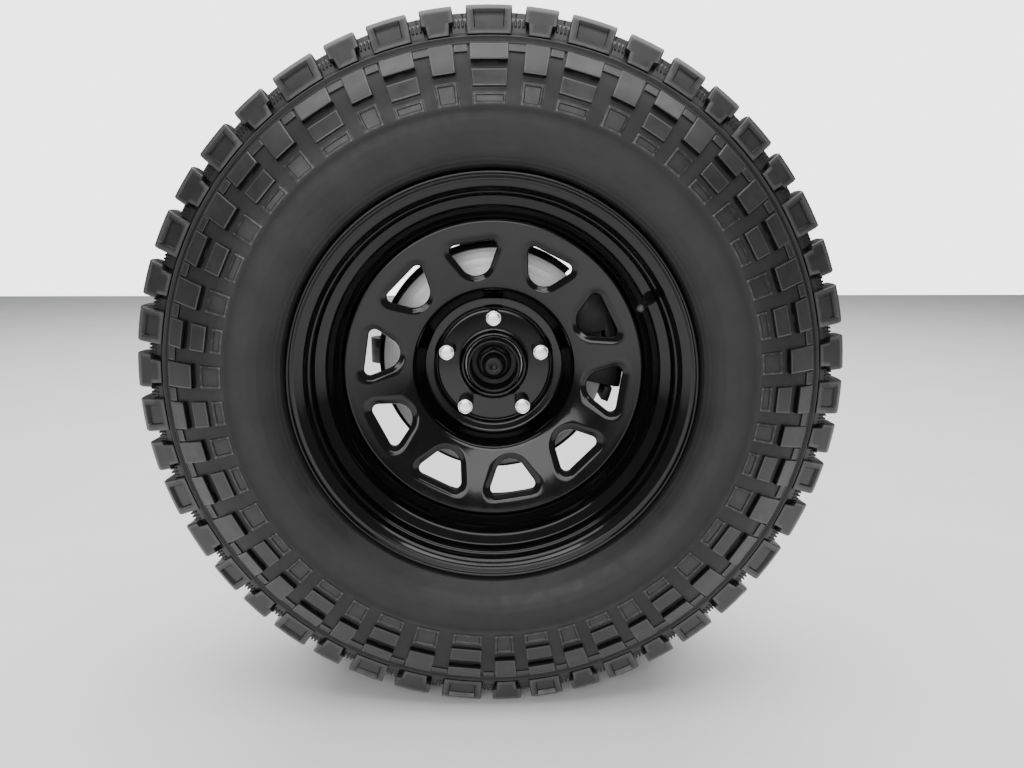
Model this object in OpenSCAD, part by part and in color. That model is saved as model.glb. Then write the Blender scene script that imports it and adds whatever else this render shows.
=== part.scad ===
// Front wheel end of an off-road 4x4: a mud-terrain tyre on a deep pressed
// steel wheel, with the hub, brake, steering knuckle and axle yoke behind it.
// +Z is up. The wheel turns about Y and its outboard side faces -Y.
// The origin is the middle of the yoke's socket for the axle tube.

/* [Tyre] */
// Overall diameter of the tyre
tyre_d = 835; // [760:1:900]
// Section width across the side blocks
tyre_w = 314; // [290:1:330]
// Width of the tread's flat crown
tread_w = 236; // [200:1:250]
// How far the tread's edge lies below its crown, on the radius
tread_drop = 10; // [4:1:14]
// Thickness under the tread, lugs included
tread_t = 30; // [24:1:40]
// Thickness of the side wall
wall_t = 13; // [9:1:18]

/* [Rim] */
// Diameter at the bead seats
seat_d = 436.6; // [405:0.1:450]
// Width between the flanges
rim_w = 228.6; // [203:0.1:254]
// Height of a flange above the bead seat
flange_h = 19; // [15:0.5:22]
// Width of a flange's rolled lip
lip_w = 12.7; // [9:0.1:16]
// Thickness of the rim's sheet
rim_t = 5; // [3.5:0.1:6]
// Outer diameter of the drop centre
well_d = 383; // [372:1:395]
// From the rim's middle to the mounting face, positive outboard
wheel_offset = -12; // [-25:1:0]

/* [Wheel disc] */
// Thickness of the pressed disc
disc_t = 7; // [5:0.5:9]
// Diameter of the flat mounting pad
pad_d = 152; // [145:1:160]
// Diameter of the raised ring round the centre recess
crest_d = 212; // [200:1:224]
// How far the raised ring stands out from the mounting face
crest_h = 42; // [34:1:46]
// How far the disc's outer edge stands out from the mounting face
edge_h = 64; // [54:1:68]
// Diameter of the centre bore
bore_d = 74; // [72:0.5:80]
// Number of windows
windows = 10; // [6:1:12]
// Radius at the middle of a window's outer corners
window_r = 149; // [144:1:156]
// Distance between the middles of a window's outer corners
window_w = 37; // [30:1:40]
// Corner radius at a window's outer side
window_corner = 11; // [8:1:13]
// Radius at the middle of a window's inner end
window_tip_r = 135; // [130:1:138]
// Radius of a window's inner end
window_tip = 16; // [12:1:18]
// Turn of the first window from the top, clockwise
window_turn = -9; // [-18:1:18]

/* [Fasteners] */
// Bolt circle diameter
pcd = 127; // [114.3:0.1:130]
// Number of studs
studs = 5; // [4:1:6]
// Stud diameter
stud_d = 14; // [12:1:14]
// Width across the flats of a lug nut
nut_af = 19; // [19:1:22]
// How far a lug nut stands out from the pad
nut_h = 25; // [20:1:30]

/* [Hub and brake] */
// Diameter of the hub's pilot
pilot_d = 71; // [68:0.5:71.5]
// How far the pilot stands out from the mounting face
pilot_h = 22; // [16:1:26]
// Diameter of the hub's flange
hub_flange_d = 148; // [146:1:152]
// Thickness of the hub's flange
hub_flange_t = 13; // [10:1:15]
// Diameter of the hub bearing's barrel
bearing_d = 88; // [82:1:92]
// Diameter of the brake disc
rotor_d = 302; // [290:1:330]
// Thickness of the brake disc
rotor_t = 28; // [22:1:30]
// Inner diameter of the brake disc's swept ring
rotor_in_d = 176; // [174:1:184]
// From the mounting face to the brake disc's outboard face
hat_h = 40; // [36:1:44]
// Thickness of the hat
hat_t = 7; // [5:0.5:8]
// Running gap of the brake pads
pad_gap = 0.5; // [0.3:0.1:1]
// Middle of the caliper, clockwise from the top
caliper_at = 78; // [70:1:95]
// Angle that the caliper spans
caliper_span = 48; // [40:1:54]

/* [Knuckle and axle] */
// From the wheel's mounting face to the kingpin axis
kingpin_y = 125; // [122:1:135]
// From the kingpin axis to the middle of the tube socket
socket_y = 125; // [120:1:150]
// Diameter of the socket for the axle tube
socket_d = 70; // [60:1:76]
// Length of the socket
socket_l = 60; // [40:1:70]
// Wall round the socket
socket_wall = 13; // [8:1:16]
// Radius of the eyes on the kingpin axis
eye_r = 26; // [24:0.5:28]
// Thickness of the yoke's eyes
yoke_eye_t = 25; // [20:1:28]
// Thickness of the knuckle's eyes
knuckle_eye_t = 23; // [18:1:26]
// Height of the upper yoke eye's underside
upper_eye_z = 95; // [92:1:110]
// Height of the lower yoke eye's top
lower_eye_z = -60; // [-72:1:-58]
// Gap between an eye of the yoke and one of the knuckle
eye_gap = 7; // [6:0.5:9]
// Ball stud diameter
ball_stud_d = 18; // [16:1:20]
// Bore for the tie rod's end
tie_bore_d = 19; // [16:1:22]
// Tie rod bore ahead of the axle
tie_x = 170; // [150:1:175]
// From the mounting face to the tie rod bore
tie_y = 180; // [176:1:190]

/* [Hidden] */
$fn = 96;

// Shared clearances
seat_gap = 0.2;         // between pieces that sit on each other
run_gap = 0.05;         // round a pin or shaft
cut = 1;                // how far a cut runs past a face

// Colours
rubber = "#2a2a2b";
black = "#121214";
steel = "#8f9296";
casting = "#4a4b4d";
chrome = "#d8dadd";

mount_y = -(kingpin_y + socket_y);      // the wheel's mounting face
mid = wheel_offset;                     // the rim's middle, from that face
seat_r = seat_d / 2;
flange_r = seat_r + flange_h;
well_r = well_d / 2;
barrel_r = seat_r - rim_t;              // inside of the rim beside the well
disc_r = well_r - rim_t - seat_gap;     // the disc's outer edge
half_w = rim_w / 2;
pad_r = pad_d / 2;
crest_r = crest_d / 2;
bearing_y = hat_h + rotor_t + 7.5;      // outboard face of the knuckle
knuckle_t = kingpin_y - eye_r - 5 - bearing_y;

// Puts local +Z along the wheel's axis, inboard, from the mounting face
module on_axis(y = 0)
    translate([0, mount_y + y, 0]) rotate([-90, 0, 0]) children();

// Turns local +X to a clock angle seen from outboard
module clock(a) rotate([0, 0, a - 90]) children();

// A ring turned from an outline of [radius, distance inboard] points
module turned(points) on_axis() rotate_extrude() polygon(points);

// Part of a ring, centred on a clock angle
module sector(points, at, span)
    on_axis() clock(at - span / 2) rotate_extrude(angle = span) polygon(points);

module box_ring(r0, r1, y0, y1)
    turned([[r0, y0], [r1, y0], [r1, y1], [r0, y1]]);

// A six-sided bar along local Z
module hex_bar(af, h) cylinder(r = af / sqrt(3), h = h, $fn = 6);

// ---- tyre and rim ----

function mirrored(points) =
    concat(points, [for (i = [len(points) - 1 : -1 : 0]) [points[i][0], -points[i][1]]]);

// Outline of half the tyre's outside, from the bead up: [radius, distance from the middle]
tyre_r = tyre_d / 2;
tyre_half = tyre_w / 2;
side_low = flange_r + 0.32 * (tyre_r - flange_r);
side_high = flange_r + 0.66 * (tyre_r - flange_r);
bead_w = 22;
outside = [
    [seat_r + seat_gap, half_w - bead_w],
    [seat_r + seat_gap, half_w - seat_gap],
    [flange_r - 4, half_w - seat_gap],
    [flange_r + 2, half_w + 4],
    [flange_r + 9, half_w + 17],
    [flange_r + 28, tyre_half - 8],
    [side_low, tyre_half],
    [side_low + 24, tyre_half - 1],
    [side_high, tyre_half - 17],
    [tyre_r - tread_drop - 12, tread_w / 2 + 9],
    [tyre_r - tread_drop, tread_w / 2],
    [tyre_r - tread_drop / 4, tread_w / 4],
    [tyre_r, tread_w / 12]];
inside = [
    [tyre_r - tread_t, tread_w / 4],
    [tyre_r - tread_drop - tread_t, tread_w / 2 - 6],
    [side_high - 12, tyre_half - 17 - wall_t],
    [side_low + 6, tyre_half - wall_t],
    [flange_r + 24, tyre_half - 12 - wall_t],
    [flange_r, half_w - 8],
    [seat_r + 12, half_w - bead_w]];

module tyre() color(rubber)
    on_axis(mid) rotate_extrude($fn = 180)
        polygon(concat(mirrored(outside),
            [for (i = [len(inside) - 1 : -1 : 0]) [inside[i][0], -inside[i][1]]], inside));

well_start = 48;        // from the outboard flange to the slope's foot
well_end = 112;         // from the outboard flange to the drop centre's far end
slope_start = mid - half_w + 28;            // the outboard slope's top, air side
slope_end = mid - half_w + well_start + 8;  // its foot, air side
module rim() color(black) difference() {
    rim_section();
    on_valve() translate([0, 0, -rim_t - 8]) cylinder(r = valve_hole_r, h = rim_t + 14);
}
module rim_section() turned([
    // tyre side, outboard to inboard
    [flange_r, mid - half_w - lip_w],
    [flange_r, mid - half_w - 5],
    [flange_r - 6, mid - half_w],
    [seat_r, mid - half_w],
    [seat_r, mid - half_w + 30],
    [well_r, mid - half_w + well_start + 10],
    [well_r, mid - half_w + well_end],
    [seat_r, mid - half_w + well_end + 30],
    [seat_r, mid + half_w],
    [flange_r - 6, mid + half_w],
    [flange_r, mid + half_w + 5],
    [flange_r, mid + half_w + lip_w],
    // air side, inboard to outboard
    [flange_r - 4, mid + half_w + lip_w],
    [flange_r - 7, mid + half_w + rim_t + 3],
    [barrel_r + 3, mid + half_w + rim_t],
    [barrel_r, mid + half_w - 2],
    [barrel_r, mid - half_w + well_end + 32],
    [well_r - rim_t, mid - half_w + well_end + 2],
    [well_r - rim_t, slope_end],
    [barrel_r, slope_start],
    [barrel_r, mid - half_w + 2],
    [barrel_r + 3, mid - half_w - rim_t],
    [flange_r - 7, mid - half_w - rim_t - 3],
    [flange_r - 4, mid - half_w - lip_w]]);

// ---- wheel disc ----

// Outline round three circles, two equal ones and a tip on the centre line. Its straight
// sides run a little inside the tangents, so that they cross the circles cleanly.
window_bite = 0.1;
window_rise = window_r - window_tip_r;
window_run = sqrt(pow(window_rise, 2) + pow(window_w / 2, 2));
window_side = atan2(window_rise, window_w / 2) - asin((window_tip - window_corner) / window_run);
module window_shape() {
    for (s = [-1, 1])
        translate([window_r, s * window_w / 2]) circle(r = window_corner);
    translate([window_tip_r, 0]) circle(r = window_tip);
    n = [-cos(window_side), sin(window_side)];
    corner = window_corner - window_bite;
    tip = window_tip - window_bite;
    polygon([
        [window_r + corner, -window_w / 2],
        [window_r + corner, window_w / 2],
        [window_r, window_w / 2] + corner * n,
        [window_tip_r, 0] + tip * n,
        [window_tip_r, 0] + tip * [n[0], -n[1]],
        [window_r, -window_w / 2] + corner * [n[0], -n[1]]]);
}

hole_r = stud_d / 2 + 1;
cone_r = hole_r + 3.5;      // the nut seat's mouth
module wheel_disc() color(black)
    difference() {
        turned([
            [bore_d / 2, -disc_t],
            [pad_r, -disc_t],
            [pad_r + 10, -disc_t - 5],
            [crest_r - 12, -crest_h + 3],
            [crest_r - 4, -crest_h - 2],
            [crest_r + 4, -crest_h - 2],
            [disc_r - 5, -edge_h],
            [disc_r, -edge_h + 5],
            [disc_r, -edge_h + 38],
            [disc_r - disc_t, -edge_h + 38],
            [disc_r - disc_t, -edge_h + disc_t + 3],
            [crest_r + 2, -crest_h + disc_t],
            [crest_r - 6, -crest_h + disc_t + 2],
            [pad_r + 14, -3],
            [pad_r + 8, 0],
            [bore_d / 2, 0]]);
        for (i = [0 : windows - 1])
            on_axis(-edge_h - 10) clock(window_turn + i * 360 / windows)
                linear_extrude(edge_h) window_shape();
        for (i = [0 : studs - 1])
            on_axis() clock(i * 360 / studs) translate([pcd / 2, 0, 0]) {
                translate([0, 0, -disc_t - cut]) cylinder(r = hole_r, h = disc_t + 2 * cut);
                translate([0, 0, -disc_t - cut])
                    cylinder(r1 = cone_r + cut, r2 = hole_r, h = cone_r + cut - hole_r);
            }
    }

// ---- fasteners and valve ----

stud_end = disc_t + nut_h - 7;          // the stud's end, outboard of the mounting face
module wheel_studs() color(steel)
    for (i = [0 : studs - 1])
        on_axis() clock(i * 360 / studs) translate([pcd / 2, 0, -stud_end])
            cylinder(r = stud_d / 2, h = stud_end + hat_t + hub_flange_t + seat_gap);

// Acorn nut: cone seat, washer base, six flats and a domed end
module lug_nuts() color(chrome)
    for (i = [0 : studs - 1])
        on_axis() clock(i * 360 / studs) translate([pcd / 2, 0, -disc_t]) difference() {
            union() {
                translate([0, 0, -seat_gap - 2]) cylinder(r = cone_r, h = 2);
                translate([0, 0, -seat_gap])
                    cylinder(r1 = cone_r, r2 = hole_r - seat_gap, h = cone_r - hole_r);
                intersection() {
                    translate([0, 0, -nut_h]) hex_bar(nut_af, nut_h - 1);
                    translate([0, 0, -nut_h]) cylinder(r1 = nut_af / 2 - 1, r2 = nut_af / 2 + 13, h = 14);
                }
                translate([0, 0, -nut_h + 13]) hex_bar(nut_af, nut_h - 14);
            }
            translate([0, 0, -nut_h + 6]) cylinder(r = stud_d / 2 + run_gap, h = nut_h + 6);
        }

// The valve stands square on the slope between the bead seat and the well
valve_at = 66;              // clockwise from the top
valve_down = 0.25;          // how far down the slope, as a share of it
valve_hole_r = 5.7;
valve_base_r = barrel_r - valve_down * (barrel_r - well_r + rim_t);
valve_base_y = slope_start + valve_down * (slope_end - slope_start);
valve_lean = atan2(slope_end - slope_start, barrel_r - well_r + rim_t);
module on_valve()
    on_axis() clock(valve_at) translate([valve_base_r, 0, valve_base_y])
        rotate([0, valve_lean, 0]) rotate([180, 0, 0]) children();
module valve_stem() color(rubber)
    on_valve() {
        translate([0, 0, -rim_t - 5]) cylinder(r1 = 5, r2 = 8, h = 5 - seat_gap);
        translate([0, 0, -rim_t - 1]) cylinder(r = valve_hole_r - seat_gap, h = rim_t + 2);
        translate([0, 0, seat_gap]) cylinder(r = 8, h = 3);
        translate([0, 0, seat_gap]) cylinder(r1 = 6.5, r2 = 5, h = 20);
        cylinder(r = 4.9, h = 28);
        cylinder(r = 3.8, h = 38);
    }
module valve_cap() color(steel)
    on_valve() difference() {
        translate([0, 0, 28 + seat_gap]) cylinder(r = 5, h = 13);
        translate([0, 0, 27]) cylinder(r = 3.8 + run_gap, h = 11 + seat_gap);
    }

// ---- hub and brake disc ----

hub_face = hat_t + seat_gap;            // the hub flange's outboard face
shaft_r = 17;
nose_r = shaft_r - 2;                   // the threaded nose that the axle nut screws onto
nut_floor = 14;                         // floor of the recess that the axle nut sits in
nut_len = 17;
barrel_start = hub_face + hub_flange_t + 4;
inner_race_r = bearing_d / 2 - 14;
module wheel_hub() color(steel)
    difference() {
        turned([
            [shaft_r + run_gap, nut_floor],
            [pilot_d / 2 - 5.5, nut_floor],
            [pilot_d / 2 - 5.5, -pilot_h + 2],
            [pilot_d / 2 - 3.5, -pilot_h],
            [pilot_d / 2 - 2, -pilot_h],
            [pilot_d / 2, -pilot_h + 2],
            [pilot_d / 2, hub_face],
            [hub_flange_d / 2, hub_face],
            [hub_flange_d / 2, hub_face + hub_flange_t],
            [inner_race_r + 6, hub_face + hub_flange_t],
            [inner_race_r, barrel_start],
            [inner_race_r, bearing_y + knuckle_t],
            [shaft_r + run_gap, bearing_y + knuckle_t]]);
        for (i = [0 : studs - 1])
            on_axis() clock(i * 360 / studs) translate([pcd / 2, 0, hub_face - cut])
                cylinder(r = stud_d / 2 + run_gap, h = hub_flange_t + 2 * cut);
    }

module hub_bearing() color(steel)
    turned([
        [inner_race_r + 0.5, barrel_start],
        [bearing_d / 2 - 3, barrel_start],
        [bearing_d / 2 - 3, bearing_y - 12],
        [bearing_d / 2 + 18, bearing_y - 12],
        [bearing_d / 2 + 18, bearing_y - seat_gap],
        [bearing_d / 2, bearing_y - seat_gap],
        [bearing_d / 2, bearing_y + knuckle_t],
        [inner_race_r + 0.5, bearing_y + knuckle_t]]);

vane_w = 5;
vanes = 36;
cheek_t = 9;
hat_in = hub_flange_d / 2 + 5;          // inside of the hat, clear of the hub's flange
hat_r = hat_in + hat_t;
module brake_disc() color(steel)
    difference() {
        union() {
            difference() {
                turned([
                    [pilot_d / 2 + run_gap, 0],
                    [hat_r, 0],
                    [hat_r, hat_h],
                    [rotor_d / 2, hat_h],
                    [rotor_d / 2, hat_h + rotor_t],
                    [rotor_in_d / 2, hat_h + rotor_t],
                    [rotor_in_d / 2, hat_h + cheek_t],
                    [hat_in, hat_h + cheek_t],
                    [hat_in, hat_t],
                    [pilot_d / 2 + run_gap, hat_t]]);
                box_ring(rotor_in_d / 2 - cut, rotor_d / 2 + cut, hat_h + cheek_t, hat_h + rotor_t - cheek_t);
            }
            for (i = [0 : vanes - 1])
                on_axis(hat_h + cheek_t - cut) clock(i * 360 / vanes)
                    translate([rotor_in_d / 2 + 2, -vane_w / 2, 0])
                        cube([(rotor_d - rotor_in_d) / 2 - 5, vane_w, rotor_t - 2 * cheek_t + 2 * cut]);
        }
        for (i = [0 : studs - 1])
            on_axis() clock(i * 360 / studs) translate([pcd / 2, 0, -cut])
                cylinder(r = stud_d / 2 + 0.5, h = hat_t + 2 * cut);
    }

// ---- axle shaft ----

yoke_base = bearing_y + knuckle_t + 10;  // where the stub shaft's yoke starts
cross_arm = 42;
cup_r = 14;
ear_t = 12;
module stub_axle() color(steel)
    difference() {
        union() {
            on_axis(-pilot_h) cylinder(r1 = nose_r - 4, r2 = nose_r, h = 5);
            on_axis(-pilot_h + 5) cylinder(r = nose_r, h = pilot_h + nut_floor);
            on_axis(nut_floor + seat_gap) cylinder(r = shaft_r, h = yoke_base - nut_floor);
            on_axis(yoke_base - 8) cylinder(r1 = shaft_r, r2 = 34, h = 8 + seat_gap);
            on_axis(yoke_base) intersection() {
                cylinder(r = 41, h = kingpin_y + 18 - yoke_base);
                union() {
                    translate([-60, -17, 0]) cube([120, 34, 5]);
                    for (s = [0, 1]) mirror([s, 0, 0]) translate([27, -17, 0])
                        cube([ear_t + 4, 34, kingpin_y + 18 - yoke_base]);
                }
            }
        }
        translate([-60, mount_y + kingpin_y, 0]) rotate([0, 90, 0])
            cylinder(r = cup_r + run_gap, h = 120);
        on_axis(-pilot_h - cut) cylinder(r = 5, h = 6 + cut);
    }

module universal_joint_cross() color(steel)
    translate([0, mount_y + kingpin_y, 0]) {
        for (a = [0, 90]) rotate([0, a, 0]) {
            translate([0, 0, -cross_arm + 3]) cylinder(r = 9, h = 2 * cross_arm - 6);
            for (s = [0, 1]) mirror([0, 0, s]) translate([0, 0, 25])
                cylinder(r = cup_r, h = cross_arm - 26);
        }
        sphere(r = 15);
    }

module axle_nut() color(steel)
    on_axis(nut_floor - seat_gap - nut_len) difference() {
        union() {
            translate([0, 0, nut_len - 4]) cylinder(r = 23, h = 4);
            hex_bar(36, nut_len - 4);
        }
        translate([0, 0, -cut]) cylinder(r = nose_r + run_gap, h = nut_len + 2 * cut);
    }

// ---- brake ----

shield_y = bearing_y - 2;
bracket_span = caliper_span + 16;
module dust_shield() color(steel)
    sector([
        [bearing_d / 2 + 18 + seat_gap, shield_y - seat_gap],
        [rotor_d / 2 + 5, shield_y - seat_gap],
        [rotor_d / 2 + 8, shield_y - 10],
        [rotor_d / 2 + 10, shield_y - 10],
        [rotor_d / 2 + 7, shield_y + 2 - seat_gap],
        [bearing_d / 2 + 18 + seat_gap, shield_y + 2 - seat_gap]],
        caliper_at + 180, 350 - bracket_span);

block_in = hat_r + 10;
block_out = rotor_d / 2 + 16;
bracket_y = bearing_y + 2;
module caliper_bracket() color(casting) {
    sector([
        [ring_r + 8, bracket_y + 8],
        [caliper_in - 3, bracket_y + 8],
        [caliper_in - 3, bracket_y + 18],
        [ring_r + 8, bracket_y + 18]], caliper_at, bracket_span);
    for (s = [-1, 1])
        sector([
            [block_in, bracket_y + 8],
            [block_in, bracket_y],
            [rotor_d / 2 + 6, bracket_y],
            [rotor_d / 2 + 6, hat_h - 12],
            [block_out, hat_h - 12],
            [block_out, bracket_y + 19],
            [block_in, bracket_y + 19]],
            caliper_at + s * (bracket_span / 2 - 3), 7);
}

caliper_in = hat_r + 25;
caliper_out = rotor_d / 2 + 24;
finger_t = 14;
pad_t = 10;
finger_y = hat_h - pad_gap - pad_t - seat_gap - finger_t;
back_y = hat_h + rotor_t + pad_gap + pad_t + seat_gap;
caliper_back = back_y + 42;
module brake_caliper() color(casting)
    difference() {
        union() {
            sector([
                [caliper_in, finger_y],
                [caliper_out - 8, finger_y],
                [caliper_out, finger_y + 8],
                [caliper_out, caliper_back - 10],
                [caliper_out - 10, caliper_back],
                [caliper_in + 4, caliper_back],
                [caliper_in, caliper_back - 6],
                [caliper_in, back_y],
                [rotor_d / 2 + 7, back_y],
                [rotor_d / 2 + 7, finger_y + finger_t],
                [caliper_in, finger_y + finger_t]], caliper_at, caliper_span);
            for (s = [-1, 1])
                sector([
                    [rotor_d / 2 - 16, caliper_back - 16],
                    [rotor_d / 2 + 8, caliper_back - 16],
                    [rotor_d / 2 + 8, caliper_back - 4],
                    [rotor_d / 2 - 16, caliper_back - 4]],
                    caliper_at + s * (caliper_span / 2 + 4), 9);
        }
        for (s = [-1, 1])
            on_axis(caliper_back - 20) clock(caliper_at + s * pin_angle)
                translate([rotor_d / 2 - 4, 0, 0]) cylinder(r = 6 + run_gap, h = 30);
        // the gap between the two outboard fingers
        on_axis(finger_y - cut) clock(caliper_at)
            translate([caliper_in - cut, -11, 0])
                cube([rotor_d / 2 + 4 - caliper_in, 22, finger_t + cut]);
    }

pin_angle = bracket_span / 2 - 3;
module guide_pins() color(steel)
    for (s = [-1, 1])
        on_axis(bracket_y + 19 + seat_gap) clock(caliper_at + s * pin_angle)
            translate([rotor_d / 2 - 4, 0, 0])
                cylinder(r = 6, h = caliper_back + 2 - bracket_y - 19);

pad_in = hat_r + 13;
module pad_at(y)
    sector([
        [pad_in, y], [rotor_d / 2 - 2, y],
        [rotor_d / 2 - 2, y + pad_t], [pad_in, y + pad_t]],
        caliper_at, caliper_span);
module outer_pad() color(black) pad_at(hat_h - pad_gap - pad_t);
module inner_pad() color(black) pad_at(hat_h + rotor_t + pad_gap);

// ---- knuckle ----

upper_knuckle_z = upper_eye_z - eye_gap - knuckle_eye_t;        // underside of its upper eye
lower_yoke_z = lower_eye_z - yoke_eye_t;                        // underside of the lower yoke eye
lower_knuckle_z = lower_yoke_z - eye_gap - knuckle_eye_t;
ring_r = bearing_d / 2 + 18;
arm_z = -26;
arm_t = 24;
tie_boss_r = tie_bore_d / 2 + 11;
tie_boss_h = 38;
knuckle_w = 44;
module kingpin(z) translate([0, mount_y + kingpin_y, z]) children();

// One eye of the knuckle, with the arm that carries it from the upright
module knuckle_eye(z)
    translate([0, mount_y, z]) {
        translate([0, kingpin_y, 0]) cylinder(r = eye_r, h = knuckle_eye_t);
        translate([-knuckle_w / 2, bearing_y, 0])
            cube([knuckle_w, kingpin_y - bearing_y, knuckle_eye_t]);
    }

module steering_knuckle() color(casting)
    difference() {
        union() {
            on_axis(bearing_y) cylinder(r = ring_r, h = knuckle_t);
            translate([-knuckle_w / 2, mount_y + bearing_y, lower_knuckle_z])
                cube([knuckle_w, knuckle_t, upper_knuckle_z + knuckle_eye_t - lower_knuckle_z]);
            knuckle_eye(upper_knuckle_z);
            knuckle_eye(lower_knuckle_z);
            // steering arm, forward and inboard to the tie rod
            translate([0, mount_y, arm_z]) {
                linear_extrude(arm_t) polygon([
                    [-ring_r + 22, bearing_y],
                    [-ring_r - 16, bearing_y],
                    [-tie_x - 14, tie_y - 15],
                    [-tie_x + 8, tie_y + 19],
                    [-ring_r - 2, bearing_y + knuckle_t + 26],
                    [-ring_r + 22, bearing_y + knuckle_t]]);
                translate([-tie_x, tie_y, 0]) cylinder(r = tie_boss_r, h = tie_boss_h);
            }
            // lugs that the caliper bracket bolts to
            sector([
                [ring_r - 10, bearing_y],
                [block_in, bearing_y],
                [block_in, bearing_y + 10 - seat_gap],
                [ring_r - 10, bearing_y + 10 - seat_gap]], caliper_at, bracket_span - 16);
        }
        on_axis(bearing_y - cut) cylinder(r = bearing_d / 2 + seat_gap, h = knuckle_t + 2 * cut);
        kingpin(lower_knuckle_z - cut)
            cylinder(r = ball_stud_d / 2 + run_gap, h = knuckle_eye_t + 2 * cut);
        kingpin(upper_knuckle_z - cut)
            cylinder(r = ball_stud_d / 2 + run_gap, h = knuckle_eye_t + 2 * cut);
        translate([-tie_x, mount_y + tie_y, arm_z - cut])
            cylinder(r = tie_bore_d / 2, h = tie_boss_h + 2 * cut);
    }

// ---- axle yoke and ball joints ----

web_t = 20;
web_y = -socket_l / 2 - web_t;          // outboard face of the yoke's web
yoke_w = 52;
socket_r = socket_d / 2;
socket_out = socket_r + socket_wall;
ball_r = 20;
shaft_hole_r = socket_r - 9;
module yoke_eye(z) {
    kingpin(z) cylinder(r = eye_r, h = yoke_eye_t);
    translate([-yoke_w / 2, -socket_y, z])
        cube([yoke_w, web_y + socket_y + web_t, yoke_eye_t]);
}
module axle_yoke() color(casting)
    difference() {
        union() {
            yoke_eye(upper_eye_z);
            yoke_eye(lower_yoke_z);
            translate([-yoke_w / 2, web_y, lower_yoke_z])
                cube([yoke_w, web_t, upper_eye_z + yoke_eye_t - lower_yoke_z]);
            translate([0, web_y, 0]) rotate([-90, 0, 0]) cylinder(r = socket_out, h = web_t);
            // gussets from the ends of the web to the socket
            for (end = [upper_eye_z + yoke_eye_t, lower_yoke_z])
                translate([-8, -socket_l / 2, 0]) rotate([90, 0, 90]) linear_extrude(16) polygon([
                    [-cut, end],
                    [socket_l * 0.7, sign(end) * (socket_out + 4)],
                    [socket_l * 0.7, sign(end) * (socket_out + seat_gap)],
                    [-cut, sign(end) * (socket_out + seat_gap)]]);
        }
        translate([0, web_y - cut, 0]) rotate([-90, 0, 0])
            cylinder(r = shaft_hole_r, h = web_t + 2 * cut);
        kingpin(upper_eye_z - cut) cylinder(r = ball_r + run_gap, h = yoke_eye_t + 2 * cut);
        kingpin(lower_yoke_z - cut) cylinder(r = ball_r + run_gap, h = yoke_eye_t + 2 * cut);
    }

module tube_socket() color(casting)
    translate([0, -socket_l / 2, 0]) rotate([-90, 0, 0]) difference() {
        cylinder(r = socket_out, h = socket_l);
        translate([0, 0, -cut]) cylinder(r = socket_r, h = socket_l + 2 * cut);
    }

// A ball joint pressed into a yoke eye, its stud down through the knuckle's eye
module ball_joint(z, eye_z) color(steel)
    kingpin(0) {
        translate([0, 0, z]) cylinder(r = ball_r, h = yoke_eye_t);
        translate([0, 0, z + yoke_eye_t]) cylinder(r1 = ball_r + 2, r2 = ball_r - 4, h = 6);
        translate([0, 0, z - eye_gap + seat_gap]) cylinder(r1 = 14, r2 = ball_r - 2, h = eye_gap);
        translate([0, 0, eye_z - 14]) cylinder(r = ball_stud_d / 2, h = z - eye_z + 20);
        translate([0, 0, eye_z - 11]) hex_bar(27, 11 - seat_gap);
    }
module upper_ball_joint() ball_joint(upper_eye_z, upper_knuckle_z);
module lower_ball_joint() ball_joint(lower_yoke_z, lower_knuckle_z);

axle_yoke();
tube_socket();
upper_ball_joint();
lower_ball_joint();
steering_knuckle();
hub_bearing();
dust_shield();
caliper_bracket();
brake_caliper();
outer_pad();
inner_pad();
guide_pins();
wheel_hub();
wheel_studs();
brake_disc();
stub_axle();
axle_nut();
universal_joint_cross();
wheel_disc();
rim();
tyre();
lug_nuts();
valve_stem();
valve_cap();
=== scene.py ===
import math
import bmesh
import bpy
import numpy as np
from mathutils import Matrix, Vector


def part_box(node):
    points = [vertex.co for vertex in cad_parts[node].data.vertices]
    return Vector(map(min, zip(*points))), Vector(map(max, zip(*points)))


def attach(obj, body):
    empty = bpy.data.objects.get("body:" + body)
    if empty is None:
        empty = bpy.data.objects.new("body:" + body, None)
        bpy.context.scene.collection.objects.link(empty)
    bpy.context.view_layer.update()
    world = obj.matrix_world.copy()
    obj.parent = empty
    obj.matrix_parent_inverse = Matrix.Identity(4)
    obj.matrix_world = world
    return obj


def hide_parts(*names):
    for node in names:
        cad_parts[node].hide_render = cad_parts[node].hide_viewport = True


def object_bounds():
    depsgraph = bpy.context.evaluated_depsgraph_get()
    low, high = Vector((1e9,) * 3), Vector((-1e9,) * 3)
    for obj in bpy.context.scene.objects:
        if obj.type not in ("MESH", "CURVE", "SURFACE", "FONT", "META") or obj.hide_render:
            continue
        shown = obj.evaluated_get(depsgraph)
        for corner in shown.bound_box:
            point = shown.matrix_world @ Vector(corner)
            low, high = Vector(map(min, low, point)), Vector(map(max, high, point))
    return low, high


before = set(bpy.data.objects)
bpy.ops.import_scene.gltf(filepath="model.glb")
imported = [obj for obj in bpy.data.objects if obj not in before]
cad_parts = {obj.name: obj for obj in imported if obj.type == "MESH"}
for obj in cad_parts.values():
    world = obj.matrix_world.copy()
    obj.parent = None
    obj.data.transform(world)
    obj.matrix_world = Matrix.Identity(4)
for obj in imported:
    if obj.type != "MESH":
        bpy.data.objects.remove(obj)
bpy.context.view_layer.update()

mm = 0.001
tyreLow, tyreHigh = [np.array(p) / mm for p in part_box("tyre")]
rimLow, rimHigh = [np.array(p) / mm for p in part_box("rim")]
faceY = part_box("wheel_disc")[1].y / mm           # the wheel's mounting face
middle = (tyreLow[1] + tyreHigh[1]) / 2 - faceY  # the tyre's middle plane, measured inboard from that face
treadRadius = tyreHigh[2] - 0.05
flangeRadius, flangeOut = rimHigh[2], rimLow[1] - faceY


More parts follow.
